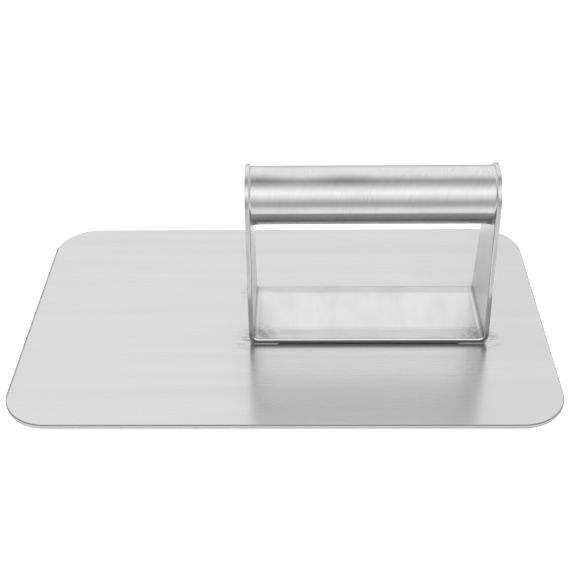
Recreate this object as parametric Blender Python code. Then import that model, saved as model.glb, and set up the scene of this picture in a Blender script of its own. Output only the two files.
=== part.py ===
"""A bacon press: a rounded steel plate with a welded-on tube handle, built as Blender objects.

Metres, +Z up. The origin is the centre of the plate's underside, and +X runs along the plate.
The handle is a flat strap bent into a U, with a round tube welded between its two ears.
"""

import math

import bmesh
import bpy
from mathutils import Vector

# ---- Driving dimensions ---------------------------------------------------------------------

PLATE_LENGTH = 0.305
PLATE_DEPTH = 0.190
PLATE_THICKNESS = 0.0025
PLATE_CORNER_RADIUS = 0.026
PLATE_EDGE_ROUNDING = 0.0006

HANDLE_OFFSET = 0.0484          # the handle stands right of the plate's middle
HANDLE_SHIFT = -0.0012          # and a little in front of it
STRAP_THICKNESS = 0.0028
BRACKET_SPAN = 0.138            # outer face to outer face of the two ears
FOOT_DEPTH = 0.052              # the strap's full width, where it lies on the plate
BEND_INNER_RADIUS = 0.0024
STRAP_EDGE_ROUNDING = 0.0003

GRIP_DIAMETER = 0.0328
GRIP_WALL = 0.0015
GRIP_AXIS_HEIGHT = 0.0848       # above the plate's upper face
EAR_RIM = 0.0012                # how far an ear's round end stands proud of the tube

GRIP_WELD_LEG = 0.0032          # along the tube
GRIP_WELD_FEATHER = 0.0002      # how thick a grip weld still is at its thin ends
FOOT_WELD_LENGTH = 0.015
FOOT_WELD_LEG = 0.0012
FOOT_WELD_INSET = 0.0024        # from an ear's outer face to the start of a bead
FOOT_WELD_END = 0.3             # an end of a bead, as a share of its middle

GAP = 0.0003                    # clearance that two touching pieces keep
ARC_STEPS = 16                  # facets in a quarter turn of a large radius
BEND_STEPS = 8
TURN_STEPS = 96                 # facets round the tube
WELD_STEPS = 6                  # facets across a weld
BEAD_STATIONS = 12              # sections along a foot bead

# ---- Sizes that follow ----------------------------------------------------------------------

GRIP_RADIUS = GRIP_DIAMETER / 2
EAR_RADIUS = GRIP_RADIUS + EAR_RIM
BEND_OUTER_RADIUS = BEND_INNER_RADIUS + STRAP_THICKNESS
BEND_LENGTH = math.pi / 2 * (BEND_INNER_RADIUS + STRAP_THICKNESS / 2)
FLAT_HALF = BRACKET_SPAN / 2 - BEND_OUTER_RADIUS
EAR_START = FLAT_HALF + BEND_LENGTH
FOOT_BASE = PLATE_THICKNESS + GAP
AXIS_ABOVE_FOOT = GRIP_AXIS_HEIGHT - GAP
EAR_INNER_FACE = BRACKET_SPAN / 2 - STRAP_THICKNESS


def clear_scene():
    for old in list(bpy.data.objects):
        bpy.data.objects.remove(old, do_unlink=True)


def steel(name, grey, roughness):
    """A Principled metal in one neutral grey."""
    material = bpy.data.materials.new(name)
    material.use_nodes = True
    shader = material.node_tree.nodes["Principled BSDF"]
    shader.inputs["Base Color"].default_value = (grey, grey, grey, 1.0)
    shader.inputs["Metallic"].default_value = 1.0
    shader.inputs["Roughness"].default_value = roughness
    return material


def add_part(name, bm, material, parent=None):
    """Turns a bmesh into a named object with outward faces, smooth on its round stretches."""
    bmesh.ops.remove_doubles(bm, verts=bm.verts, dist=1e-6)
    bmesh.ops.recalc_face_normals(bm, faces=bm.faces)
    mesh = bpy.data.meshes.new(name)
    bm.to_mesh(mesh)
    bm.free()
    mesh.materials.append(material)
    mesh.shade_smooth()
    mesh.set_sharp_from_angle(angle=math.radians(35))
    part = bpy.data.objects.new(name, mesh)
    bpy.context.scene.collection.objects.link(part)
    part.parent = parent
    return part


def round_edges(part, width, segments):
    """Breaks the sharp arrises of a sheet metal piece."""
    bevel = part.modifiers.new("deburred_edges", "BEVEL")
    bevel.width = width
    bevel.segments = segments
    bevel.limit_method = "ANGLE"
    bevel.angle_limit = math.radians(50)


def arc(centre, radius, start, end, steps):
    """Points along an arc in a plane, both ends included."""
    points = []
    for step in range(steps + 1):
        angle = start + (end - start) * step / steps
        points.append((centre[0] + radius * math.cos(angle), centre[1] + radius * math.sin(angle)))
    return points


# ---- The plate ------------------------------------------------------------------------------


def plate_outline():
    """A rectangle with a full quarter arc at each corner, anticlockwise."""
    across = PLATE_LENGTH / 2 - PLATE_CORNER_RADIUS
    along = PLATE_DEPTH / 2 - PLATE_CORNER_RADIUS
    points = []
    for corner, (side_x, side_y) in enumerate(((1, 1), (-1, 1), (-1, -1), (1, -1))):
        start = corner * math.pi / 2
        centre = (side_x * across, side_y * along)
        points += arc(centre, PLATE_CORNER_RADIUS, start, start + math.pi / 2, ARC_STEPS)
    return points


def build_plate():
    bm = bmesh.new()
    face = bm.faces.new([bm.verts.new((x, y, 0.0)) for x, y in plate_outline()])
    raised = bmesh.ops.extrude_face_region(bm, geom=[face])
    top = [item for item in raised["geom"] if isinstance(item, bmesh.types.BMVert)]
    bmesh.ops.translate(bm, verts=top, vec=(0.0, 0.0, PLATE_THICKNESS))
    plate = add_part("base_plate", bm, steel("brushed_plate", 0.72, 0.3))
    round_edges(plate, PLATE_EDGE_ROUNDING, 3)
    return plate


# ---- The bent strap -------------------------------------------------------------------------


def ear_outline():
    """One ear's edge as (height above the foot's underside, depth), from front to back.

    Each side runs straight from the foot to where it meets the round end at a tangent.
    """
    base = Vector((BEND_OUTER_RADIUS - AXIS_ABOVE_FOOT, -FOOT_DEPTH / 2))
    away = math.atan2(base.y, base.x)
    lean = math.acos(EAR_RADIUS / base.length)
    touch = away + lean
    rim = arc((AXIS_ABOVE_FOOT, 0.0), EAR_RADIUS, touch, -touch, 2 * ARC_STEPS)
    return [(BEND_OUTER_RADIUS, -FOOT_DEPTH / 2)] + rim + [(BEND_OUTER_RADIUS, FOOT_DEPTH / 2)]


def strap_outline():
    """The flat blank before bending: developed length along the first axis, depth along the second."""
    ear = [(EAR_START + height - BEND_OUTER_RADIUS, depth) for height, depth in ear_outline()]
    return ear + [(-length, -depth) for length, depth in ear]


def bent(length, depth, raised):
    """Where a point of the blank lies once the strap is folded up at both ends of the foot."""
    side = math.copysign(1.0, length)
    length = abs(length)
    if length <= FLAT_HALF:
        return Vector((side * length, depth, raised))
    radius = BEND_OUTER_RADIUS - raised
    if length >= EAR_START:
        return Vector((side * (FLAT_HALF + radius), depth, BEND_OUTER_RADIUS + length - EAR_START))
    turn = (length - FLAT_HALF) / BEND_LENGTH * math.pi / 2
    across = FLAT_HALF + radius * math.sin(turn)
    return Vector((side * across, depth, BEND_OUTER_RADIUS - radius * math.cos(turn)))


def build_bracket(parent):
    """Cuts the blank, scores it where it will bend, gives it its thickness and folds it."""
    bm = bmesh.new()
    bm.faces.new([bm.verts.new((length, depth, 0.0)) for length, depth in strap_outline()])
    for side in (-1, 1):
        for step in range(BEND_STEPS + 1):
            score = side * (FLAT_HALF + BEND_LENGTH * step / BEND_STEPS)
            everything = bm.verts[:] + bm.edges[:] + bm.faces[:]
            bmesh.ops.bisect_plane(bm, geom=everything, plane_co=(score, 0, 0), plane_no=(1, 0, 0))
    raised = bmesh.ops.extrude_face_region(bm, geom=bm.faces[:])
    top = [item for item in raised["geom"] if isinstance(item, bmesh.types.BMVert)]
    bmesh.ops.translate(bm, verts=top, vec=(0.0, 0.0, STRAP_THICKNESS))
    for vert in bm.verts:
        vert.co = bent(*vert.co)
    bracket = add_part("handle_bracket", bm, steel("brushed_strap", 0.7, 0.32), parent)
    round_edges(bracket, STRAP_EDGE_ROUNDING, 2)
    return bracket


# ---- The grip tube and its welds ------------------------------------------------------------


def turned(profile):
    """Turns a closed profile of (distance along, radius) about the X axis."""
    bm = bmesh.new()
    verts = [bm.verts.new((along, 0.0, radius)) for along, radius in profile]
    edges = [bm.edges.new((a, b)) for a, b in zip(verts, verts[1:] + verts[:1])]
    bmesh.ops.spin(
        bm,
        geom=verts + edges,
        cent=(0.0, 0.0, 0.0),
        axis=(1.0, 0.0, 0.0),
        angle=math.tau,
        steps=TURN_STEPS,
        use_merge=True,
    )
    return bm


def build_grip(parent):
    half = EAR_INNER_FACE - GAP
    bore = GRIP_RADIUS - GRIP_WALL
    profile = [(-half, bore), (half, bore), (half, GRIP_RADIUS), (-half, GRIP_RADIUS)]
    grip = add_part("grip_tube", turned(profile), steel("satin_tube", 0.7, 0.28), parent)
    grip.location.z = AXIS_ABOVE_FOOT
    return grip


def build_grip_weld(name, side, material, parent):
    """A hollow fillet that fills the corner between the tube and an ear's inner face."""
    root = EAR_INNER_FACE - GAP
    toe = root - GRIP_WELD_LEG
    inside = GRIP_RADIUS + GAP
    outside = EAR_RADIUS - GAP
    rim = root - GRIP_WELD_FEATHER
    lip = inside + GRIP_WELD_FEATHER
    profile = [(root, inside), (toe, inside), (toe, lip)]
    for step in range(1, WELD_STEPS):
        turn = math.pi / 2 * step / WELD_STEPS
        along = toe + (rim - toe) * math.sin(turn)
        radius = outside - (outside - lip) * math.cos(turn)
        profile.append((along, radius))
    profile += [(rim, outside), (root, outside)]
    weld = add_part(name, turned([(side * along, radius) for along, radius in profile]), material, parent)
    weld.location.z = AXIS_ABOVE_FOOT
    return weld


# ---- The beads that hold the foot on the plate ----------------------------------------------


def build_foot_weld(name, side_x, side_y, material, parent):
    """A short rounded fillet bead along the foot's front or rear edge, next to a bend.

    Its section is a quarter round that stays nearly full along the bead and drops off at both ends.
    """
    bm = bmesh.new()
    rings = []
    for station in range(BEAD_STATIONS + 1):
        share = station / BEAD_STATIONS
        from_middle = abs(2 * share - 1)
        fullness = max(FOOT_WELD_END, math.sqrt(1 - from_middle**4))
        section = [(0.0, 0.0)] + arc((0.0, 0.0), FOOT_WELD_LEG * fullness, 0.0, math.pi / 2, WELD_STEPS)
        along = (share - 0.5) * FOOT_WELD_LENGTH
        rings.append([bm.verts.new((along, side_y * out, up)) for out, up in section])
    for ring, following in zip(rings, rings[1:]):
        for index in range(len(ring)):
            after = (index + 1) % len(ring)
            bm.faces.new((ring[index], ring[after], following[after], following[index]))
    bm.faces.new(rings[0])
    bm.faces.new(rings[-1])
    weld = add_part(name, bm, material, parent)
    middle = BRACKET_SPAN / 2 - FOOT_WELD_INSET - FOOT_WELD_LENGTH / 2
    weld.location = (side_x * middle, side_y * (FOOT_DEPTH / 2 + GAP), 0.0)
    return weld


def build_handle():
    """Everything above the plate hangs on one empty, so that the handle can be placed as a whole."""
    handle = bpy.data.objects.new("handle", None)
    handle.location = (HANDLE_OFFSET, HANDLE_SHIFT, FOOT_BASE)
    bpy.context.scene.collection.objects.link(handle)
    build_bracket(handle)
    build_grip(handle)
    bead = steel("weld_bead", 0.6, 0.35)
    for word, side_x in (("left", -1), ("right", 1)):
        build_grip_weld(f"grip_weld_{word}", side_x, bead, handle)
        for place, side_y in (("front", -1), ("rear", 1)):
            build_foot_weld(f"foot_weld_{place}_{word}", side_x, side_y, bead, handle)


clear_scene()
build_plate()
build_handle()
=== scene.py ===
# %% [markdown]
# # A bacon press in brushed stainless steel
# A bacon press is a flat steel plate that keeps rashers from curling on a griddle. This one is
# three cut pieces of stainless: a sheet with round corners, a strap folded into a U, and a tube
# that the hand closes round. Weld beads join them, so nothing on it moves.
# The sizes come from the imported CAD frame. This file only gives it its finished surfaces.

# %% Load the frame
import math

import bmesh
import bpy
from mathutils import Matrix, Vector


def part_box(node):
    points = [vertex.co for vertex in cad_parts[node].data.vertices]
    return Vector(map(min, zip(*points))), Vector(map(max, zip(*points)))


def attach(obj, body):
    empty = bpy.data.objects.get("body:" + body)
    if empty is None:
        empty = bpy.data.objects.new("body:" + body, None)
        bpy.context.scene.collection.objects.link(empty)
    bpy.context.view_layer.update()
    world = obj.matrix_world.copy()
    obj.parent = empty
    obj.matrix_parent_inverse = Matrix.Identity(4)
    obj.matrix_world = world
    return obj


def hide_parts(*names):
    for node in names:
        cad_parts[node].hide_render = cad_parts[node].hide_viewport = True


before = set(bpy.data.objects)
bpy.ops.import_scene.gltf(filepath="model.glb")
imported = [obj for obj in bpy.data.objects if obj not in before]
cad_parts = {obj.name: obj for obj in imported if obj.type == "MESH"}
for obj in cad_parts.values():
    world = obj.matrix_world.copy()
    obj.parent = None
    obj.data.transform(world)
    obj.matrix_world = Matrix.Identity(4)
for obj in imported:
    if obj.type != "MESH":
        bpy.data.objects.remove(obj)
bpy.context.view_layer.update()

print("frame nodes:", ", ".join(sorted(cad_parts)))

# %% [markdown]
# ## Measures
# Every position is read from the CAD boxes. Only radii and thicknesses, which a box can't tell,
# are written here again, in metres.

# %% Measures from the frame
MM = 0.001

plate_low, plate_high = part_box("base_plate")
strap_low, strap_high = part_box("handle_bracket")
tube_low, tube_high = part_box("grip_tube")

PLATE_CORNER = 26 * MM
STRAP_THICKNESS = 2.8 * MM
BEND_INSIDE = 2.4 * MM
TUBE_WALL = 1.5 * MM

BEND_OUTSIDE = BEND_INSIDE + STRAP_THICKNESS

strap_middle = (strap_low.x + strap_high.x) / 2
handle_depth = (strap_low.y + strap_high.y) / 2
strap_half = (strap_high.x - strap_low.x) / 2
foot_half = (strap_high.y - strap_low.y) / 2
tube_radius = (tube_high.z - tube_low.z) / 2
axis_height = (tube_high.z + tube_low.z) / 2
ear_radius = strap_high.z - axis_height
print(f"tube {2000 * tube_radius:.1f} mm thick, {1000 * axis_height:.1f} mm above the griddle")

# %% [markdown]
# ## From faces to a finished piece
# Each piece is first drawn as a bmesh. Its edges' sharpness and its surface direction both matter
# on brushed metal: light smears across the brush lines, so the material must know which way the
# lines run. A UV map named "grain" stores that, in metres: U runs along the lines, V across them.

# %% One way to finish a piece
GRAIN = "grain"
ARRIS = "arris"
CUT = "cut"
CREASE = math.radians(40)
FLAT_MARGIN = 0.3 * MM


def mesh_of(name, bm):
    """A bmesh turned into a mesh."""
    mesh = bpy.data.meshes.new(name)
    bm.to_mesh(mesh)
    bm.free()
    return mesh


def finish_piece(name, mesh, material):
    """Makes the object of a closed mesh: smooth rounds, and crisp edges past the crease."""
    mesh.materials.clear()
    mesh.materials.append(material)
    mesh.shade_smooth()
    mesh.set_sharp_from_angle(angle=CREASE)
    piece = bpy.data.objects.new(name, mesh)
    bpy.context.scene.collection.objects.link(piece)
    print(f"{name}: {len(mesh.polygons)} faces")
    return piece


def place_piece(piece, slot, *nodes):
    """Ties a piece to the frame: what it moves with and what it stands for. The slot is not used.
    """
    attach(piece, "root")
    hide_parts(*nodes)


def arc(centre, radius, start, end, steps):
    """Points along an arc in a plane, both ends included."""
    turns = [start + (end - start) * step / steps for step in range(steps + 1)]
    return [(centre[0] + radius * math.cos(a), centre[1] + radius * math.sin(a)) for a in turns]


# %% [markdown]
# ## One line for one node
# A node tree in a script is easiest to read when one line makes one node: its kind, its settings
# and what feeds it. Colours are written as the sRGB hex value that an eye would pick, and one
# function turns them into the linear values that a shader adds up.

# %% Colours and nodes


def linear(hex_colour):
    """A hex sRGB colour as linear RGBA."""
    parts = [int(hex_colour[i : i + 2], 16) / 255 for i in (1, 3, 5)]
    lit = [c / 12.92 if c <= 0.04045 else ((c + 0.055) / 1.055) ** 2.4 for c in parts]
    return (*lit, 1.0)


def add_node(tree, kind, *feeds, out=0, stops=(), **named):
    """Adds one node and returns one of its output sockets.

    Feeds go to its inputs in order, as sockets, values or hex colours. A named value goes to the
    input with that label or identifier, with _ for a space, or else it is a property of the node.
    The stops are a colour ramp's (place, colour) pairs, where a number is a linear grey.
    """
    node = tree.nodes.new(kind)
    for place, _ in stops[2:]:
        node.color_ramp.elements.new(1.0)
    for index, (place, colour) in enumerate(stops):
        rgba = linear(colour) if isinstance(colour, str) else (colour, colour, colour, 1.0)
        node.color_ramp.elements[index].position = place
        node.color_ramp.elements[index].color = rgba
    fed = list(zip(node.inputs, feeds))
    for key, value in named.items():
        if key[0].islower():
            setattr(node, key, value)
        else:
            labels = (key, key.replace("_", " "))
            named_input = next(s for s in node.inputs if s.identifier in labels or s.name in labels)
            fed.append((named_input, value))
    for socket, value in fed:
        if isinstance(value, bpy.types.NodeSocket):
            tree.links.new(value, socket)
        elif value is not None:
            is_colour = isinstance(value, str) and value[0] == "#"
            socket.default_value = linear(value) if is_colour else value
    if isinstance(out, str):
        return next(s for s in node.outputs if out in (s.identifier, s.name))
    return node.outputs[out]


print("mid grey is", round(linear("#808080")[0], 3), "in linear light")

# %% [markdown]
# ## What every steel surface here shares
# All the metal is the same 18/8 stainless, so each finish starts from one metallic shader and
# differs in its patterns. A pattern is noise stretched into lines or clouds with sizes in metres,
# and stains lie over the plain grey one after another. A stain is often kept to a band between
# two places along an axis, and a band can be left open at either end.

# %% Shared parts of the finishes
DARKER_GREY = "#8c8c8c"
OPEN_BELOW = (-1.0, -0.9)
OPEN_ABOVE = (1.0, 1.1)


def new_metal(name, anisotropy):
    """A fully metallic Principled shader. Light smears across the grain, a quarter turn from U."""
    material = bpy.data.materials.new(name)
    material.use_nodes = True
    tree = material.node_tree
    shader = tree.nodes["Principled BSDF"]
    shader.inputs["Metallic"].default_value = 1.0
    shader.inputs["Anisotropic"].default_value = anisotropy
    shader.inputs["Anisotropic Rotation"].default_value = 0.25
    tangent = add_node(tree, "ShaderNodeTangent", direction_type="UV_MAP", uv_map=GRAIN)
    tree.links.new(tangent, shader.inputs["Tangent"])
    return material, tree, shader


def pattern(tree, sizes, seed=0.0, detail=3.0, turn=0.0, along_grain=False):
    """Noise this large along X, Y and Z of the object, or along U and V of the grain.

    Long sizes give lines, which can be turned about Z, by degrees.
    """
    if along_grain:
        place = add_node(tree, "ShaderNodeUVMap", uv_map=GRAIN)
    else:
        place = add_node(tree, "ShaderNodeTexCoord", out="Object")
    angle = math.radians(turn)
    place = add_node(tree, "ShaderNodeVectorRotate", place, rotation_type="Z_AXIS", Angle=angle)
    scales = tuple(1 / size for size in sizes)
    place = add_node(tree, "ShaderNodeMapping", place, Location=(seed,) * 3, Scale=scales)
    return add_node(tree, "ShaderNodeTexNoise", place, Scale=1.0, Detail=detail)


def steps_in(tree, axis, *places):
    """A band along an axis of the object: 0 at the first place, 1, 1, and 0 at the last."""
    place = add_node(tree, "ShaderNodeTexCoord", out="Object")
    along = add_node(tree, "ShaderNodeSeparateXYZ", place, out=axis)
    rise = add_node(tree, "ShaderNodeMapRange", along, *places[:2], 0.0, 1.0)
    fall = add_node(tree, "ShaderNodeMapRange", along, *places[2:], 1.0, 0.0)
    return add_node(tree, "ShaderNodeMath", rise, fall, operation="MULTIPLY")


def halo(tree, centres, reach):
    """1 at any of these points, falling to 0 at its reach along X, Y and Z."""
    place = add_node(tree, "ShaderNodeTexCoord", out="Object")
    total = 0.0
    for centre in centres:
        away = add_node(tree, "ShaderNodeVectorMath", place, centre, operation="SUBTRACT")
        away = add_node(tree, "ShaderNodeVectorMath", away, reach, operation="DIVIDE")
        away = add_node(tree, "ShaderNodeVectorMath", away, operation="LENGTH", out="Value")
        close = add_node(tree, "ShaderNodeMapRange", away, 0.0, 1.0, 1.0, 0.0)
        total = add_node(tree, "ShaderNodeMath", close, total, operation="ADD")
    return total


def layered(tree, colour, *stains):
    """A colour with stains over it, each as its share (factors to multiply) and its own colour."""
    for *factors, stain in stains:
        share = factors[0]
        for factor in factors[1:]:
            share = add_node(tree, "ShaderNodeMath", share, factor, operation="MULTIPLY")
        mix = {"A_Color": colour, "B_Color": stain, "out": "Result_Color"}
        colour = add_node(tree, "ShaderNodeMix", share, data_type="RGBA", **mix)
    return colour


print("open bands start at", OPEN_BELOW[0], "m and end at", OPEN_ABOVE[1], "m")

# %% [markdown]
# ## Brushed stainless sheet
# Stainless steel sheet is run under an abrasive belt, so its surface is thousands of straight
# parallel scratches. Real ones are about 0.05 mm wide. That is far too fine to show here, so they
# are drawn 0.5 mm wide, which gives the same silky look, with a faint broader banding on top.
# The lines change the grey and the roughness a little, and a very shallow bump breaks reflections.
# The stains are, in order: a touch of grey over the right of the sheet, a dull strip along the
# left edge, grey in the crevice round the foot, partly grime and partly painted shade, and sooty
# streaks out from the foot's corners.

# %% Material: brushed sheet
FAINT, STRONG = 0.08, 0.75


def brushed_sheet():
    material, tree, shader = new_metal("brushed stainless sheet", anisotropy=0.75)
    fine = pattern(tree, (150 * MM, 0.5 * MM, 0.5 * MM))
    broad = pattern(tree, (250 * MM, 9 * MM, 9 * MM), seed=5.0)
    mixed = add_node(tree, "ShaderNodeMix", 0.5, A_Float=fine, B_Float=broad, out="Result_Float")
    clean = add_node(tree, "ShaderNodeValToRGB", mixed, stops=((0.3, "#d0d0d0"), (0.7, "#d4d4d4")))

    front, rear = handle_depth - foot_half, handle_depth + foot_half
    left, right = strap_low.x, strap_high.x
    crevice_grime_and_shade = steps_in(tree, "Y", front - 5 * MM, front - 2.5 * MM, rear + 2.5 * MM, rear + 5 * MM)
    beside = steps_in(tree, "X", left, left + 4 * MM, right - 4 * MM, right)
    corners = [(x, y, plate_high.z) for x in (left, right) for y in (front + 4 * MM, rear)]
    soot = pattern(tree, (5 * MM, 1.5 * MM, 3 * MM), seed=1.7)
    soot = add_node(tree, "ShaderNodeMapRange", soot, 0.45, 0.62, 0.0, 1.0)
    strip = (plate_low.x + 0.9 * MM, plate_low.x + 1.6 * MM)
    left_edge_greyed = steps_in(tree, "X", *OPEN_BELOW, *strip)
    handled = steps_in(tree, "X", right - 40 * MM, right + 10 * MM, *OPEN_ABOVE)
    arris = add_node(tree, "ShaderNodeAttribute", attribute_name=ARRIS, out="Fac")
    colour = layered(
        tree,
        clean,
        (handled, FAINT, DARKER_GREY),
        (left_edge_greyed, STRONG, DARKER_GREY),
        # Partly grime, partly painted shade: the plate greys in the crevice where it meets the
        # foot.
        (crevice_grime_and_shade, beside, STRONG, "#8e8e8e"),
        (halo(tree, corners, (9 * MM, 13 * MM, 9 * MM)), soot, 0.7, "#7c7c7c"),
        # Painted shade: the plate's rounded arrises are greyed to give its edge a dark line.
        (arris, "#8a8a8a"),
    )
    tree.links.new(colour, shader.inputs["Base Color"])
    roughness = add_node(tree, "ShaderNodeMapRange", mixed, 0.3, 0.7, 0.3, 0.26)
    tree.links.new(roughness, shader.inputs["Roughness"])
    bump = add_node(tree, "ShaderNodeBump", Strength=0.02, Distance=0.02 * MM, Height=fine)
    tree.links.new(bump, shader.inputs["Normal"])
    return material


sheet_steel = brushed_sheet()
print("made", sheet_steel.name)

# %% [markdown]
# ## The plate
# The real plate is laser-cut from sheet and its edge is deburred, so each arris is a small
# round. A bevelled cube would do, but then the corner arcs and the edge rounds depend on each
# other. Here the outline is drawn once, and rings of it, each a little smaller or larger, climb
# round the edge like contour lines. One extra ring just inside the flat keeps its shading flat.

# %% Build the plate
EDGE_ROUND = 0.6 * MM
EDGE_STEPS = 6
CORNER_STEPS = 40


def round_rectangle(inset):
    """The plate's outline as (x, y) points, pulled in by inset."""
    half_x = (plate_high.x - plate_low.x) / 2 - PLATE_CORNER
    half_y = (plate_high.y - plate_low.y) / 2 - PLATE_CORNER
    points = []
    for corner, (side_x, side_y) in enumerate(((1, 1), (-1, 1), (-1, -1), (1, -1))):
        start = corner * math.pi / 2
        centre = (side_x * half_x, side_y * half_y)
        points += arc(centre, PLATE_CORNER - inset, start, start + math.pi / 2, CORNER_STEPS)
    return points


def edge_rings(thickness):
    """(inset, height) up the plate's edge: a round, a straight face and a round."""
    high = thickness - EDGE_ROUND
    lower = arc((EDGE_ROUND, EDGE_ROUND), EDGE_ROUND, 1.5 * math.pi, math.pi, EDGE_STEPS)
    upper = arc((EDGE_ROUND, high), EDGE_ROUND, math.pi, 0.5 * math.pi, EDGE_STEPS)
    inner = EDGE_ROUND + FLAT_MARGIN
    return [(inner, 0.0)] + lower + upper + [(inner, thickness)]


def build_plate():
    bm = bmesh.new()
    arris = bm.verts.layers.float.new(ARRIS)
    grain = bm.loops.layers.uv.new(GRAIN)
    rings = []
    climbed = 0.0
    last = None
    for inset, height in edge_rings(plate_high.z - plate_low.z):
        if last:
            climbed += math.dist(last, (inset, height))
        last = (inset, height)
        ring = [bm.verts.new((x, y, plate_low.z + height)) for x, y in round_rectangle(inset)]
        for vert in ring:
            vert[arris] = 1.0 if 0.0 < inset < EDGE_ROUND else 0.0
        rings.append((ring, climbed))
    outline = round_rectangle(0.0)
    walked = [0.0]
    for here, there in zip(outline, outline[1:] + outline[:1]):
        walked.append(walked[-1] + math.dist(here, there))
    for (ring, low), (above, high) in zip(rings, rings[1:]):
        for index in range(len(ring)):
            after = (index + 1) % len(ring)
            face = bm.faces.new((ring[index], ring[after], above[after], above[index]))
            places = ((index, low), (index + 1, low), (index + 1, high), (index, high))
            for loop, (step, up) in zip(face.loops, places):
                loop[grain].uv = (walked[step], up)
    for face in (bm.faces.new(rings[0][0][::-1]), bm.faces.new(rings[-1][0])):
        for loop in face.loops:
            loop[grain].uv = loop.vert.co.xy
    return finish_piece("pressing_plate", mesh_of("pressing_plate", bm), sheet_steel)


plate = build_plate()
place_piece(plate, "brushed_plate", "base_plate")

# %% [markdown]
# ## Brushed strap
# The strap's brush lines cross it, and it has been handled more. Its foot was wiped only in the
# middle, heat and a small grinding wheel marked the front corners, and the bends are scuffed. The
# cut edges are smoother than the faces, with their own fine lines, and dull near the foot. Below
# the grip their rounded arrises are lightened, a painted highlight.

# %% Material: brushed strap
LEG_BAND = (30 * MM, 42 * MM, 60 * MM, 74 * MM)


def brushed_strap():
    material, tree, shader = new_metal("brushed stainless strap", anisotropy=0.6)
    fine = pattern(tree, (0.5 * MM, 20 * MM, 0.5 * MM), seed=3.0)
    cloud = pattern(tree, (13 * MM, 30 * MM, 14 * MM), seed=8.0, detail=2.0)
    mixed = add_node(tree, "ShaderNodeMix", 0.75, A_Float=fine, B_Float=cloud, out="Result_Float")
    clean = add_node(tree, "ShaderNodeValToRGB", mixed, stops=((0.35, "#cfcfcf"), (0.6, "#d6d6d6")))

    front, rear = strap_low.y, strap_high.y
    wiped_band = (front + 8 * MM, front + 12 * MM, rear - 8 * MM, rear - 5 * MM)
    middle_clean = steps_in(tree, "Y", *wiped_band)
    greasy = add_node(tree, "ShaderNodeMath", 1.0, middle_clean, operation="SUBTRACT")
    wiped = pattern(tree, (22 * MM, 3 * MM, 8 * MM), seed=1.3, detail=4.0)
    wiped = add_node(tree, "ShaderNodeMapRange", wiped, 0.4, 0.6, 0.6, 1.0)

    corner_places = (strap_low.x + 6 * MM, strap_high.x - 6 * MM)
    corners = [(x, front + 2 * MM, strap_low.z) for x in corner_places]
    heat = halo(tree, corners, (11 * MM, 15 * MM, 15 * MM))
    soot = pattern(tree, (3 * MM, 1.5 * MM, 2 * MM), seed=1.0, detail=5.0, turn=-30.0)
    soot = add_node(tree, "ShaderNodeMapRange", soot, 0.42, 0.58, 0.1, 1.0)
    ground = pattern(tree, (0.6 * MM, 9 * MM, 9 * MM), seed=9.0, detail=1.0, turn=-32.0)
    ground = add_node(tree, "ShaderNodeMapRange", ground, 0.52, 0.6, 0.0, 0.9)

    flat_start, flat_end = strap_low.x + BEND_OUTSIDE, strap_high.x - BEND_OUTSIDE
    between = steps_in(tree, "X", flat_start, flat_start + 2 * MM, flat_end - 2 * MM, flat_end)
    scuffed = add_node(tree, "ShaderNodeMath", 1.0, between, operation="SUBTRACT")

    rim_lines = pattern(tree, (12 * MM, 0.35 * MM, 1.0), seed=6.0, along_grain=True)
    rim_greys = ((0.35, "#c6c6c6"), (0.65, "#d2d2d2"))
    rim = add_node(tree, "ShaderNodeValToRGB", rim_lines, stops=rim_greys)
    cut = add_node(tree, "ShaderNodeAttribute", attribute_name=CUT, out="Fac")
    arris = add_node(tree, "ShaderNodeAttribute", attribute_name=ARRIS, out="Fac")
    bend_top = strap_low.z + BEND_OUTSIDE
    on_foot = steps_in(tree, "Z", *OPEN_BELOW, strap_low.z + 6 * MM, strap_low.z + 10 * MM)
    on_bend = steps_in(tree, "Z", *OPEN_BELOW, bend_top, bend_top + 2 * MM)
    on_legs = steps_in(tree, "Z", *LEG_BAND)
    painted_highlight_below_grip = steps_in(tree, "Z", *OPEN_BELOW, *LEG_BAND[2:])
    colour = layered(
        tree,
        clean,
        (greasy, wiped, on_foot, 0.5, "#a2a2a2"),
        (heat, soot, DARKER_GREY),
        (heat, ground, DARKER_GREY),
        (scuffed, on_bend, 0.15, DARKER_GREY),
        (cut, rim),
        (cut, on_legs, 0.35, DARKER_GREY),
        (cut, on_foot, STRONG, DARKER_GREY),
        # Painted highlight: the rounded arrises below the grip are lightened.
        (arris, painted_highlight_below_grip, "#f0f0f0"),
    )
    tree.links.new(colour, shader.inputs["Base Color"])
    on_faces = add_node(tree, "ShaderNodeMapRange", mixed, 0.3, 0.7, 0.32, 0.28)
    on_rims = add_node(tree, "ShaderNodeMapRange", rim_lines, 0.3, 0.7, 0.2, 0.13)
    result = "Result_Float"
    roughness = add_node(tree, "ShaderNodeMix", cut, A_Float=on_faces, B_Float=on_rims, out=result)
    tree.links.new(roughness, shader.inputs["Roughness"])
    lines = add_node(tree, "ShaderNodeMix", cut, A_Float=fine, B_Float=rim_lines, out=result)
    bump = add_node(tree, "ShaderNodeBump", Strength=0.1, Distance=0.02 * MM, Height=lines)
    tree.links.new(bump, shader.inputs["Normal"])
    return material


strap_steel = brushed_strap()
print("made", strap_steel.name)

# %% [markdown]
# ## The bent strap
# A fabricator cuts a flat blank, wide in the middle for the foot and tapering to a round end at
# each ear, then folds both ears up over a small radius. The script works the same way. The blank
# is drawn and thickened while it is flat, its arrises are rounded, and then every point is folded
# round the bend by a formula. The grain is stored before folding, so the brush lines follow it.

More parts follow.
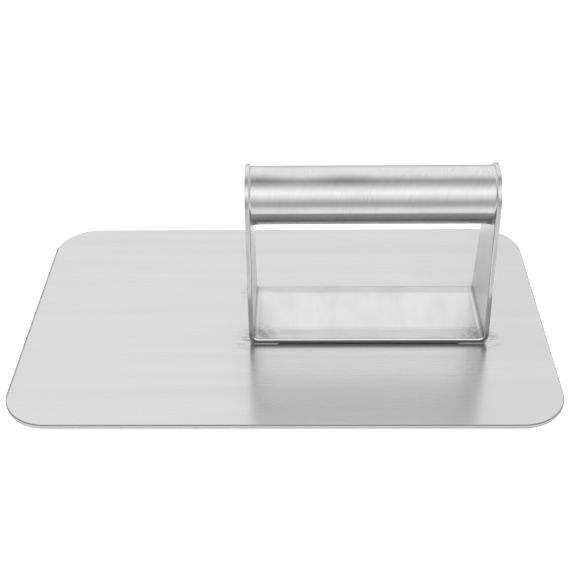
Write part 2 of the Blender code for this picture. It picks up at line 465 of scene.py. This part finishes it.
# %% Build the strap
BEND_LENGTH = math.pi / 2 * (BEND_INSIDE + STRAP_THICKNESS / 2)
FLAT_HALF = strap_half - BEND_OUTSIDE
EAR_START = FLAT_HALF + BEND_LENGTH
AXIS_RISE = axis_height - strap_low.z
ROLLED_ARRIS = 0.9 * MM
BURR_ARRIS = 0.2 * MM
EAR_STEPS = 64
BEND_STEPS = 24
# A face belongs to the sheet's flat, to an arris or to the cut edge by how far its normal is up.
FLAT_FACE, ROUND_FACE, FACE_GRAIN, CUT_FACE = 0.999, 0.97, 0.9, 0.2
OUTLINE_ANGLE = 1.0


def ear_outline():
    """One ear's edge as (height above the foot's underside, depth), from front to back."""
    base = Vector((BEND_OUTSIDE - AXIS_RISE, -foot_half))
    touch = math.atan2(base.y, base.x) + math.acos(ear_radius / base.length)
    rim = arc((AXIS_RISE, 0.0), ear_radius, touch, -touch, EAR_STEPS)
    return [(BEND_OUTSIDE, -foot_half)] + rim + [(BEND_OUTSIDE, foot_half)]


def folded(length, depth, raised):
    """Where a point of the flat blank lies once both ears are folded up."""
    side = math.copysign(1.0, length)
    length = abs(length)
    radius = BEND_OUTSIDE - raised
    if length <= FLAT_HALF:
        return Vector((side * length, depth, raised))
    if length >= EAR_START:
        return Vector((side * (FLAT_HALF + radius), depth, BEND_OUTSIDE + length - EAR_START))
    turn = (length - FLAT_HALF) / BEND_LENGTH * math.pi / 2
    across = FLAT_HALF + radius * math.sin(turn)
    return Vector((side * across, depth, BEND_OUTSIDE - radius * math.cos(turn)))


def store_blank_grain(bm):
    """U along the brush lines: across the strap on its faces, round it on its cut edges."""
    grain = bm.loops.layers.uv.new(GRAIN)
    cut = bm.loops.layers.float.new(CUT)
    arris = bm.loops.layers.float.new(ARRIS)
    ear_centre = EAR_START + AXIS_RISE - BEND_OUTSIDE
    for face in bm.faces:
        facing = abs(face.normal.z)
        for loop in face.loops:
            length, depth, raised = loop.vert.co
            along = length
            if abs(length) > ear_centre:
                turn = math.atan2(depth, abs(length) - ear_centre)
                along = math.copysign(ear_centre, length) + ear_radius * turn
            loop[grain].uv = (along, raised) if facing < FACE_GRAIN else (depth, length)
            loop[cut] = 1.0 if facing < ROUND_FACE else 0.0
            loop[arris] = 1.0 if CUT_FACE < facing < ROUND_FACE else 0.0


def round_arrises(bm, height, radius):
    """Rounds the outline's edges at this height of the flat blank."""
    level = [e for e in bm.edges if all(abs(v.co.z - height) < 0.01 * MM for v in e.verts)]
    arrises = [edge for edge in level if edge.calc_face_angle(0.0) > OUTLINE_ANGLE]
    bmesh.ops.bevel(bm, geom=arrises, offset=radius, segments=5, profile=0.5, affect="EDGES")


def build_strap():
    bm = bmesh.new()
    ear = [(EAR_START + height - BEND_OUTSIDE, depth) for height, depth in ear_outline()]
    outline = ear + [(-length, -depth) for length, depth in ear]
    bm.faces.new([bm.verts.new((length, depth, 0.0)) for length, depth in outline])
    raised = bmesh.ops.extrude_face_region(bm, geom=bm.faces[:])
    top = [item for item in raised["geom"] if isinstance(item, bmesh.types.BMVert)]
    bmesh.ops.translate(bm, verts=top, vec=(0.0, 0.0, STRAP_THICKNESS))
    bmesh.ops.recalc_face_normals(bm, faces=bm.faces[:])
    round_arrises(bm, STRAP_THICKNESS, ROLLED_ARRIS)
    round_arrises(bm, 0.0, BURR_ARRIS)
    flats = [face for face in bm.faces if abs(face.normal.z) > FLAT_FACE]
    bmesh.ops.inset_individual(bm, faces=flats, thickness=FLAT_MARGIN, use_even_offset=True)
    for side in (-1, 1):
        for step in range(BEND_STEPS + 1):
            score = side * (FLAT_HALF + BEND_LENGTH * step / BEND_STEPS)
            everything = bm.verts[:] + bm.edges[:] + bm.faces[:]
            bmesh.ops.bisect_plane(bm, geom=everything, plane_co=(score, 0, 0), plane_no=(1, 0, 0))
    bm.normal_update()
    store_blank_grain(bm)
    for vert in bm.verts:
        vert.co = folded(*vert.co) + Vector((strap_middle, handle_depth, strap_low.z))
    return finish_piece("bent_strap", mesh_of("bent_strap", bm), strap_steel)


strap = build_strap()
place_piece(strap, "brushed_strap", "handle_bracket")

# %% [markdown]
# ## Satin tube
# The tube was spun against a fine belt, which leaves faint lines that run round it. They smear
# light along the tube and not round it, so the room still shows on it in clear straight bands.

# %% Material: satin tube
PATCH_CLIMB = math.radians(61)
PATCH_PLACES = (4 * MM, 52 * MM)
PATCH_REACH = (22 * MM, 5 * MM, 4 * MM)
PATCH_SHARE = 0.6


def grip_dark_patches(tree):
    """Two darker patches on the grip's upper front."""
    depth = handle_depth - tube_radius * math.cos(PATCH_CLIMB)
    height = axis_height + tube_radius * math.sin(PATCH_CLIMB)
    return halo(tree, [(tube_low.x + x, depth, height) for x in PATCH_PLACES], PATCH_REACH)


def satin_tube():
    material, tree, shader = new_metal("satin stainless tube", anisotropy=0.5)
    fine = pattern(tree, (0.5 * MM, 14 * MM, 14 * MM), seed=11.0)
    cloud = pattern(tree, (22 * MM, 9 * MM, 9 * MM), seed=4.0)
    mixed = add_node(tree, "ShaderNodeMix", 0.6, A_Float=fine, B_Float=cloud, out="Result_Float")
    clean = add_node(tree, "ShaderNodeValToRGB", mixed, stops=((0.3, "#cccccc"), (0.7, "#d8d8d8")))
    strokes = pattern(tree, (0.6 * MM, 12 * MM, 12 * MM), seed=2.0, detail=1.0, turn=38.0)
    scratched = add_node(tree, "ShaderNodeMapRange", strokes, 0.58, 0.68, 0.0, 0.2)
    patched = (grip_dark_patches(tree), PATCH_SHARE, DARKER_GREY)
    colour = layered(tree, clean, (scratched, "#b4b4b4"), patched)
    tree.links.new(colour, shader.inputs["Base Color"])
    roughness = add_node(tree, "ShaderNodeMapRange", mixed, 0.3, 0.7, 0.22, 0.11)
    tree.links.new(roughness, shader.inputs["Roughness"])
    bump = add_node(tree, "ShaderNodeBump", Strength=0.1, Distance=0.01 * MM, Height=fine)
    tree.links.new(bump, shader.inputs["Normal"])
    return material


tube_steel = satin_tube()
print("made", tube_steel.name)

# %% [markdown]
# ## The grip tube
# A tube is a profile turned about its axis. The Screw modifier or a bevelled curve would do, but
# a short spin in bmesh also lets each face store how far round it lies, which the grain needs.

# %% Build the tube
TURN_STEPS = 192


def turned(profile):
    """Turns a closed profile of (x, radius) about the grip's axis, with the grain round it."""
    bm = bmesh.new()
    grain = bm.loops.layers.uv.new(GRAIN)
    rings = []
    for step in range(TURN_STEPS):
        turn = math.tau * step / TURN_STEPS
        cos, sin = math.cos(turn), math.sin(turn)
        places = [(x, handle_depth + r * cos, axis_height + r * sin) for x, r in profile]
        rings.append([bm.verts.new(place) for place in places])
    for step in range(TURN_STEPS):
        ring, following = rings[step], rings[(step + 1) % TURN_STEPS]
        for index in range(len(profile)):
            after = (index + 1) % len(profile)
            face = bm.faces.new((ring[index], ring[after], following[after], following[index]))
            for loop, beyond in zip(face.loops, (0, 0, 1, 1)):
                round_the_tube = tube_radius * math.tau * (step + beyond) / TURN_STEPS
                loop[grain].uv = (round_the_tube, loop.vert.co.x)
    bmesh.ops.recalc_face_normals(bm, faces=bm.faces[:])
    return bm


def build_tube():
    bore = tube_radius - TUBE_WALL
    outer = [(tube_low.x, tube_radius), (tube_high.x, tube_radius)]
    profile = outer + [(tube_high.x, bore), (tube_low.x, bore)]
    return finish_piece("hand_tube", mesh_of("hand_tube", turned(profile)), tube_steel)


tube = build_tube()
place_piece(tube, "satin_tube", "grip_tube")

# %% [markdown]
# ## Weld metal
# A TIG bead is a row of overlapping puddles, each a little crescent. Steel oxidises in the
# valleys between them, so they are darker there. Where a grinder has passed, it is plain metal.
# The foot's beads, low on the press, keep a dull oxide all over.

# %% Material: weld metal
VALLEY = "valley"


def weld_metal():
    material, tree, shader = new_metal("weld metal", anisotropy=0.4)
    mottle = pattern(tree, (1.5 * MM, 1.5 * MM, 1.5 * MM), seed=7.0)
    clean = add_node(tree, "ShaderNodeValToRGB", mottle, stops=((0.3, "#cccccc"), (0.7, "#d8d8d8")))
    oxide = steps_in(tree, "Z", *OPEN_BELOW, plate_high.z + 2 * MM, plate_high.z + 3 * MM)
    valley = add_node(tree, "ShaderNodeAttribute", attribute_name=VALLEY, out="Fac")
    patched = (grip_dark_patches(tree), PATCH_SHARE, DARKER_GREY)
    colour = layered(tree, clean, patched, (oxide, 0.8, "#8a8a8a"), (valley, "#6e6e6e"))
    tree.links.new(colour, shader.inputs["Base Color"])
    roughness = add_node(tree, "ShaderNodeMapRange", mottle, 0.3, 0.7, 0.22, 0.16)
    tree.links.new(roughness, shader.inputs["Roughness"])
    return material


weld_steel = weld_metal()
print("made", weld_steel.name)

# %% [markdown]
# ## The welds
# Every bead here is the same idea: a cross-section swept along a path, with ripples at an even
# pitch. Geometry Nodes does that, so one tree makes the two rings round the grip and the four
# short beads along the foot. Each object that carries the tree is only its path, as a wire.
# The ripples bow forward in the middle, because the puddle cools from its sides. On the rings
# they fade out towards the top, where the welder could reach with a grinder.

# %% The tree for a bead
END_SHARPNESS = 6.0
NOISE_SCALE = 300.0
WANDER = 0.8
RIPPLE_MEAN = 0.6
GRIND_FADE = 6 * MM


def bead_tree():
    tree = bpy.data.node_groups.new("weld_bead", "GeometryNodeTree")
    kinds = {
        "Path": "Geometry", "Section": "Object", "Side": "Vector", "Step": "Float",
        "Taper": "Float", "Pitch": "Float", "Height": "Float", "Bow": "Float",
        "Ground Above": "Float", "Seed": "Float", "Material": "Material",
    }
    for name, kind in kinds.items():
        tree.interface.new_socket(name, in_out="INPUT", socket_type="NodeSocket" + kind)
    tree.interface.new_socket("Bead", in_out="OUTPUT", socket_type="NodeSocketGeometry")
    given = tree.nodes.new("NodeGroupInput").outputs

    path = add_node(tree, "GeometryNodeMeshToCurve", given["Path"])
    path = add_node(tree, "GeometryNodeResampleCurve", path, mode="LENGTH", Length=given["Step"])
    path = add_node(tree, "GeometryNodeSetCurveNormal", path, mode="FREE", Normal=given["Side"])
    spline = tree.nodes.new("GeometryNodeSplineParameter").outputs
    measured = tree.nodes.new("GeometryNodeCaptureAttribute")
    measured.capture_items.new("FLOAT", "along")
    tree.links.new(path, measured.inputs[0])
    tree.links.new(spline["Length"], measured.inputs[1])
    along = measured.outputs[1]

    # A stitch keeps its width until close to its ends, then closes like a fingertip.
    factor = spline["Factor"]
    off_middle = add_node(tree, "ShaderNodeMath", factor, 2.0, -1.0, operation="MULTIPLY_ADD")
    off_middle = add_node(tree, "ShaderNodeMath", off_middle, END_SHARPNESS, operation="POWER")
    shrink = add_node(tree, "ShaderNodeMath", off_middle, given["Taper"], operation="MULTIPLY")
    kept = add_node(tree, "ShaderNodeMath", 1.0, shrink, operation="SUBTRACT")
    scale = add_node(tree, "ShaderNodeMath", kept, operation="SQRT")
    section = add_node(tree, "GeometryNodeObjectInfo", given["Section"], out="Geometry")
    section = add_node(tree, "GeometryNodeMeshToCurve", section)
    sweep = {"Profile_Curve": section, "Scale": scale, "Fill_Caps": True}
    swept = add_node(tree, "GeometryNodeCurveToMesh", measured.outputs[0], **sweep)

    # Ripples: a row of arches along the path, bowed by the crown and made a little uneven.
    across = add_node(tree, "GeometryNodeInputNamedAttribute", "across", data_type="FLOAT")
    crown = add_node(tree, "ShaderNodeMath", across, math.pi, operation="MULTIPLY")
    crown = add_node(tree, "ShaderNodeMath", crown, operation="SINE")
    place = add_node(tree, "GeometryNodeInputPosition")
    noise = (place, given["Seed"], NOISE_SCALE)
    uneven = add_node(tree, "ShaderNodeTexNoise", *noise, noise_dimensions="4D")
    wander = add_node(tree, "ShaderNodeMath", given["Pitch"], WANDER, operation="MULTIPLY")
    shifted = add_node(tree, "ShaderNodeMath", crown, given["Bow"], along, operation="MULTIPLY_ADD")
    shifted = add_node(tree, "ShaderNodeMath", uneven, wander, shifted, operation="MULTIPLY_ADD")
    turns = add_node(tree, "ShaderNodeMath", shifted, given["Pitch"], operation="DIVIDE")
    turns = add_node(tree, "ShaderNodeMath", turns, math.pi, operation="MULTIPLY")
    wave = add_node(tree, "ShaderNodeMath", turns, operation="SINE")
    ripple = add_node(tree, "ShaderNodeMath", wave, operation="ABSOLUTE")

    # Left as welded below a height, ground smooth from there up.
    height = add_node(tree, "ShaderNodeSeparateXYZ", place, out="Z")
    raw = add_node(tree, "ShaderNodeMath", given["Ground Above"], height, operation="SUBTRACT")
    raw = add_node(tree, "ShaderNodeMapRange", raw, 0.0, GRIND_FADE, 0.0, crown)
    centred = add_node(tree, "ShaderNodeMath", ripple, RIPPLE_MEAN, operation="SUBTRACT")
    rise = add_node(tree, "ShaderNodeMath", centred, raw, operation="MULTIPLY")
    rise = add_node(tree, "ShaderNodeMath", rise, given["Height"], operation="MULTIPLY")
    normal = add_node(tree, "GeometryNodeInputNormal")
    outward = add_node(tree, "ShaderNodeVectorMath", normal, operation="SCALE", Scale=rise)
    bead = add_node(tree, "GeometryNodeSetPosition", swept, Offset=outward)

    hollow = add_node(tree, "ShaderNodeMath", 1.0, ripple, operation="SUBTRACT")
    valley = add_node(tree, "ShaderNodeMath", hollow, raw, operation="MULTIPLY")
    store = "GeometryNodeStoreNamedAttribute"
    bead = add_node(tree, store, bead, data_type="FLOAT", Name=VALLEY, Value=valley)
    over = add_node(tree, "ShaderNodeMath", across, MM, operation="MULTIPLY")
    grain = add_node(tree, "ShaderNodeCombineXYZ", along, over)
    corners = {"data_type": "FLOAT2", "domain": "CORNER"}
    bead = add_node(tree, store, bead, **corners, Name=GRAIN, Value=grain)
    bead = add_node(tree, "GeometryNodeSetShadeSmooth", bead)
    bead = add_node(tree, "GeometryNodeRealizeInstances", bead)
    bead = add_node(tree, "GeometryNodeSetMaterial", bead, Material=given["Material"])
    tree.links.new(bead, tree.nodes.new("NodeGroupOutput").inputs[0])
    return tree


weld_bead = bead_tree()
print("bead tree has", len(weld_bead.nodes), "nodes")

# %% Paths and sections


def wire(name, points, closed, across=None):
    """A wire object through points. It never shows: a bead's tree reads it."""
    count = len(points)
    edges = [(i, (i + 1) % count) for i in range(count if closed else count - 1)]
    mesh = bpy.data.meshes.new(name)
    mesh.from_pydata(points, edges, [])
    if across:
        mesh.attributes.new("across", "FLOAT", "POINT").data.foreach_set("value", across)
    return bpy.data.objects.new(name, mesh)


def section_of(name, surface, buried):
    """A closed section: the free surface, numbered 0 to 1 across it, and the buried corners."""
    last = len(surface) - 1
    across = [index / last for index in range(len(surface))] + [0.0] * len(buried)
    return wire(name, [(a, b, 0.0) for a, b in surface + buried], True, across)


def make_bead(name, path, material, **settings):
    """Sweeps one bead and returns it as a plain mesh."""
    bpy.context.scene.collection.objects.link(path)
    modifier = path.modifiers.new("weld_bead", "NODES")
    modifier.node_group = weld_bead
    settings = {key.replace("_", " "): value for key, value in settings.items()}
    settings["Material"] = material
    for item in weld_bead.interface.items_tree:
        if item.in_out == "INPUT" and item.name in settings:
            modifier[item.identifier] = settings[item.name]
    path.update_tag()
    depsgraph = bpy.context.evaluated_depsgraph_get()
    mesh = bpy.data.meshes.new_from_object(path.evaluated_get(depsgraph), depsgraph=depsgraph)
    bpy.data.objects.remove(path)
    mesh.name = name
    return finish_piece(name, mesh, material)


# %% [markdown]
# ## The rings that hold the grip
# Each ring is a hollow fillet. It leaves the tube at a tangent, climbs to the ear and lies over
# its inner arris, so tube, weld and ear read as one skin after grinding.

# %% Build the grip rings
RING_LEG = 4.2 * MM
RING_LAP = 0.75 * MM
RING_HOLLOW = 4.5
RING_RIPPLES = 78
RING_TOE = 0.02 * MM
RING_BURIED = -0.3 * MM


def ring_section():
    """The ring's section. Its toe stays just clear of the tube, so the two don't fight for it."""
    steps = 32
    climb = ear_radius - tube_radius - RING_TOE
    surface = []
    for step in range(steps + 1):
        share = step / steps
        along = -RING_LEG + (RING_LEG + RING_LAP) * share
        risen = (1 - math.cos(math.pi * share**RING_HOLLOW)) / 2
        surface.append((along, RING_TOE + climb * risen))
    buried = [(RING_LAP, RING_BURIED), (-RING_LEG, RING_BURIED)]
    return section_of("ring_section", surface, buried)


ring_shape = ring_section()
for word, side in (("left", -1), ("right", 1)):
    ear_face = strap_middle + side * (strap_half - STRAP_THICKNESS)
    turns = [side * math.tau * step / TURN_STEPS for step in range(TURN_STEPS)]
    outline = [(tube_radius * math.cos(turn), tube_radius * math.sin(turn)) for turn in turns]
    circle = [(ear_face, handle_depth + deep, axis_height + high) for deep, high in outline]
    ring = make_bead(
        f"grip_ring_{word}",
        wire("ring_path", circle, True),
        weld_steel,
        Section=ring_shape,
        Side=(side, 0.0, 0.0),
        Step=0.25 * MM,
        Taper=0.0,
        Pitch=math.tau * tube_radius / RING_RIPPLES,
        Height=0.2 * MM,
        Bow=0.8 * MM,
        Ground_Above=axis_height - 5 * MM,
        Seed=2.0 + side,
    )
    place_piece(ring, "weld_bead", f"grip_weld_{word}")

# %% [markdown]
# ## The beads that hold the foot
# Four short stitches are enough on a foot this wide. They are thin, and left as welded.

# %% Build the foot beads
BEAD_LEG = 1.1 * MM


def bead_section():
    steps = 12
    surface = []
    for step in range(steps + 1):
        turn = math.pi / 2 * step / steps
        surface.append((BEAD_LEG * math.cos(turn), BEAD_LEG * math.sin(turn)))
    return section_of("bead_section", surface, [(0.0, 0.0)])


bead_shape = bead_section()
for side_x, word in ((-1, "left"), (1, "right")):
    for side_y, place in ((-1, "front"), (1, "rear")):
        low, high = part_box(f"foot_weld_{place}_{word}")
        edge = handle_depth + side_y * foot_half
        ends = [(low.x, edge, plate_high.z), (high.x, edge, plate_high.z)]
        bead = make_bead(
            f"foot_bead_{place}_{word}",
            wire("bead_path", ends[::-side_y], False),
            weld_steel,
            Section=bead_shape,
            Side=(0.0, 0.0, 1.0),
            Step=0.12 * MM,
            Taper=0.97,
            Pitch=1.2 * MM,
            Height=0.22 * MM,
            Bow=0.6 * MM,
            Ground_Above=1.0,
            Seed=4.0 * side_x + side_y,
        )
        place_piece(bead, "weld_bead", f"foot_weld_{place}_{word}")

# %% [markdown]
# ## Floor, light and camera
# A pale sweep, a soft light all round and a long lens, as for a catalogue. Brushed metal shows
# nothing but what it mirrors, so the light is a tent: bright behind and in front of the top,
# darker straight overhead and low in front, where the room is. One function of the direction
# gives that, as a ramp over the angle that climbs from the front, over the top, to the back. The
# tent greys off at its sides, and is darker low on the left, like a doorway. The front of it is
# also dimmed for second mirror bounces. That isn't physical: it was set so that what one piece
# mirrors of another doesn't come out too bright.

# %% The floor
SWEEP_GREY_AT, SWEEP_WHITE_AT = -0.36, -0.14
SWEEP_GLOW = 0.5
SWEEP_HALF = 6.0
SWEEP_DROP = 0.2 * MM


def white_sweep():
    """Matte white, greying off in front, out of view: painted shade where the light tent opens to
    the room.
    """
    material = bpy.data.materials.new("matte white sweep")
    material.use_nodes = True
    tree = material.node_tree
    shader = tree.nodes["Principled BSDF"]
    shader.inputs["Roughness"].default_value = 1.0
    shader.inputs["Specular IOR Level"].default_value = 0.0
    place = add_node(tree, "ShaderNodeTexCoord", out="Object")
    depth = add_node(tree, "ShaderNodeSeparateXYZ", place, out="Y")
    painted_shade_fade = (SWEEP_GREY_AT, SWEEP_WHITE_AT)
    share = add_node(tree, "ShaderNodeMapRange", depth, *painted_shade_fade, 0.0, 1.0)
    # Painted shade: the sweep's colour greys towards the front, where the room is darker.
    colour = layered(tree, "#bcbcbc", (share, "#f7f7f7"))
    tree.links.new(colour, shader.inputs["Base Color"])
    shader.inputs["Emission Color"].default_value = (1.0, 1.0, 1.0, 1.0)
    seen = add_node(tree, "ShaderNodeLightPath", out="Is Camera Ray")
    glow = add_node(tree, "ShaderNodeMath", seen, SWEEP_GLOW, operation="MULTIPLY")
    tree.links.new(glow, shader.inputs["Emission Strength"])
    return material


def build_floor():
    bm = bmesh.new()
    bmesh.ops.create_grid(bm, x_segments=4, y_segments=4, size=SWEEP_HALF)
    sweep = finish_piece("floor", mesh_of("floor", bm), white_sweep())
    sweep.location.z = plate_low.z - SWEEP_DROP


build_floor()

# %% The light tent
# (angle in degrees from the front horizon over the top to the back, brightness)
TENT = (
    (-90, 0.60), (-30, 0.62), (-4, 0.53), (6, 0.71), (18, 1.03), (36, 1.46), (51, 1.20),
    (66, 0.74), (85, 0.47), (94, 0.74), (105, 1.06), (118, 1.13), (152, 1.18), (167, 0.85),
    (180, 0.70), (270, 0.70),
)
SIDE_GREY = "#cfcfcf"
SIDE_BAND = (0.55, 0.9)
DOOR_GREY = "#8c8c8c"
DOOR_LEFT = (-0.3, -0.6)
DOOR_TOP = (0.35, 0.05)
ROOM_SHARE = 0.58
ROOM_END = (math.radians(105), math.radians(125))


def build_tent():
    world = bpy.data.worlds.new("light tent")
    world.use_nodes = True
    tree = world.node_tree
    direction = add_node(tree, "ShaderNodeTexCoord", out="Generated")
    x, y, z = (add_node(tree, "ShaderNodeSeparateXYZ", direction, out=axis) for axis in "XYZ")
    front = add_node(tree, "ShaderNodeMath", y, -1.0, operation="MULTIPLY")
    climb = add_node(tree, "ShaderNodeMath", z, front, operation="ARCTAN2")
    behind = add_node(tree, "ShaderNodeMath", climb, -math.pi / 2, operation="LESS_THAN")
    climb = add_node(tree, "ShaderNodeMath", behind, math.tau, climb, operation="MULTIPLY_ADD")
    first, last = TENT[0][0], TENT[-1][0]
    ends = (math.radians(first), math.radians(last))
    share = add_node(tree, "ShaderNodeMapRange", climb, *ends, 0.0, 1.0)
    brightest = max(value for _, value in TENT)
    stops = [((angle - first) / (last - first), value / brightest) for angle, value in TENT]
    ramp = add_node(tree, "ShaderNodeValToRGB", share, stops=stops)
    sideways = add_node(tree, "ShaderNodeMath", x, operation="ABSOLUTE")
    sideways = add_node(tree, "ShaderNodeMapRange", sideways, *SIDE_BAND, 0.0, 1.0)
    leftwards = add_node(tree, "ShaderNodeMapRange", x, *DOOR_LEFT, 0.0, 1.0)
    low = add_node(tree, "ShaderNodeMapRange", z, *DOOR_TOP, 0.0, 1.0)
    colour = layered(tree, ramp, (sideways, SIDE_GREY), (leftwards, low, DOOR_GREY))
    bounces = add_node(tree, "ShaderNodeLightPath", out="Glossy Depth")
    again = add_node(tree, "ShaderNodeMapRange", bounces, 1.0, 2.0, 0.0, 1.0)
    in_front = add_node(tree, "ShaderNodeMapRange", climb, *ROOM_END, 1.0, 0.0)
    dimmed = add_node(tree, "ShaderNodeMath", again, in_front, operation="MULTIPLY")
    strengths = (brightest, ROOM_SHARE * brightest)
    strength = add_node(tree, "ShaderNodeMapRange", dimmed, 0.0, 1.0, *strengths)
    background = tree.nodes["Background"]
    tree.links.new(colour, background.inputs["Color"])
    tree.links.new(strength, background.inputs["Strength"])
    bpy.context.scene.world = world
    print("tent has", len(tree.nodes), "nodes, brightest", brightest)


build_tent()

# %% A soft box overhead
overhead = bpy.data.objects.new("soft_box", bpy.data.lights.new("soft_box", "AREA"))
overhead.data.size = 2.0
overhead.data.energy = 10.0
overhead.location = (0.0, 0.1, 1.5)
overhead.visible_glossy = False
bpy.context.scene.collection.objects.link(overhead)
print("soft box", overhead.data.size, "m across")

# %% The camera
CAMERA_PLACE = Vector((0.0128, -0.4854, 0.3783))
CAMERA_HEADING = math.radians(-1.306)
CAMERA_TILT = math.radians(36.22)
CAMERA_ROLL = math.radians(0.934)
LENS = 63.7


def aim_camera():
    """A camera that looks along +Y, turned by heading, dipped by tilt and rolled about its view."""
    camera = bpy.data.objects.new("camera", bpy.data.cameras.new("camera"))
    camera.data.sensor_width = 36.0
    camera.data.lens = LENS
    camera.data.clip_start = 0.01
    heading = Matrix.Rotation(-CAMERA_HEADING, 4, "Z")
    upright = heading @ Matrix.Rotation(math.pi / 2 - CAMERA_TILT, 4, "X")
    roll = Matrix.Rotation(-CAMERA_ROLL, 4, "Z")
    camera.matrix_world = Matrix.Translation(CAMERA_PLACE) @ upright @ roll
    bpy.context.scene.collection.objects.link(camera)
    bpy.context.scene.camera = camera


aim_camera()
bpy.context.scene.view_settings.view_transform = "Standard"
print("camera", f"{CAMERA_PLACE.length:.2f} m from the press, {LENS} mm lens")
